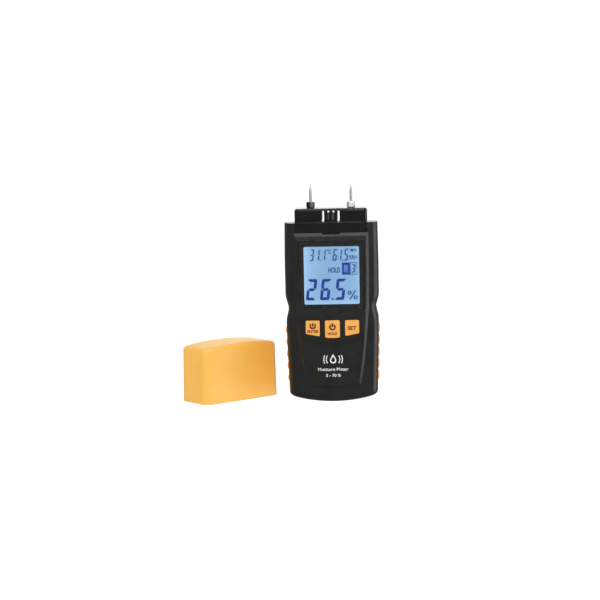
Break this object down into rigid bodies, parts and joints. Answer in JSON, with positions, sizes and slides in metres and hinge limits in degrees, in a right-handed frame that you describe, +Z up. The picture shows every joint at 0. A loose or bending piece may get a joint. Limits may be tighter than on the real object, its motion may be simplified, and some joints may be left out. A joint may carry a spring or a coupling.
{
  "type": "pin moisture meter",
  "caption": "Handheld pin-type moisture meter with a backlit display, push keys and ribbed side grips, its domed pin cap standing beside it.",
  "frame": {"origin": "centre of the flat on the meter's foot, midway between its front and rear faces", "axes": "+Z up through the measuring pins, the display faces -Y, +X is to the right of someone reading it"},
  "size_m": [0.1482, 0.0656, 0.16],
  "materials": {
    "case": "fine textured black",
    "probe_head": "glossy black",
    "cap": "satin orange",
    "keys": "satin orange",
    "grips": "matt orange",
    "window": "clear with a black printed border",
    "lcd": "lit blue",
    "white_plastic": "moulded white",
    "black_rubber": "matt",
    "board": "green solder resist",
    "components": "moulded black",
    "steel": "bright",
    "nickel": "nickel plated",
    "brass": "turned",
    "cells": "sleeved",
    "lead": "insulated wire",
    "label": "printed film"
  },
  "bodies": {
    "meter": {"front_case": "case", "rear_case": "case", "grip_left": "grips", "grip_right": "grips", "probe_head": "probe_head", "pin_left": "steel", "pin_right": "steel", "pin_nuts": "nickel", "pin_sockets": "brass", "pin_leads": "lead", "sensor_board": "board", "humidity_sensor": "white_plastic", "thermistor": "components", "display_lens": "window", "lcd_glass": "lcd", "lcd_frame": "white_plastic", "backlight_panel": "white_plastic", "zebra_connector": "black_rubber", "main_board": "board", "controller_chip": "components", "chip_legs": "nickel", "amplifier_chips": "components", "small_parts": "components", "crystal_can": "nickel", "buzzer": "components", "push_switches": "components", "battery_cells": "cells", "battery_contacts": "nickel", "battery_springs": "nickel", "battery_leads": "lead", "case_screws": "steel", "board_screws": "steel", "rear_label": "label"},
    "enter_key": {"button_enter": "keys"},
    "power_key": {"button_power": "keys"},
    "set_key": {"button_set": "keys"},
    "door": {"battery_door": "case"},
    "cap": {"pin_cap": "cap"}
  },
  "joints": [
    {"name": "enter_press", "type": "slide", "parent": "meter", "child": "enter_key", "axis": [0, 1, 0], "range_m": [0, 0.0008], "stiffness_N_per_m": 600, "springref_m": -0.0005},
    {"name": "power_press", "type": "slide", "parent": "meter", "child": "power_key", "axis": [0, 1, 0], "range_m": [0, 0.0008], "stiffness_N_per_m": 600, "springref_m": -0.0005},
    {"name": "set_press", "type": "slide", "parent": "meter", "child": "set_key", "axis": [0, 1, 0], "range_m": [0, 0.0008], "stiffness_N_per_m": 600, "springref_m": -0.0005},
    {"name": "door_swing", "type": "hinge", "parent": "meter", "child": "door", "pos_m": [0, 0.017, 0.0126], "axis": [-1, 0, 0], "range_deg": [0, 75]},
    {"name": "cap_lift", "type": "slide", "parent": "meter", "child": "cap", "axis": [0, 0, 1], "range_m": [0, 0.15]}
  ]
}
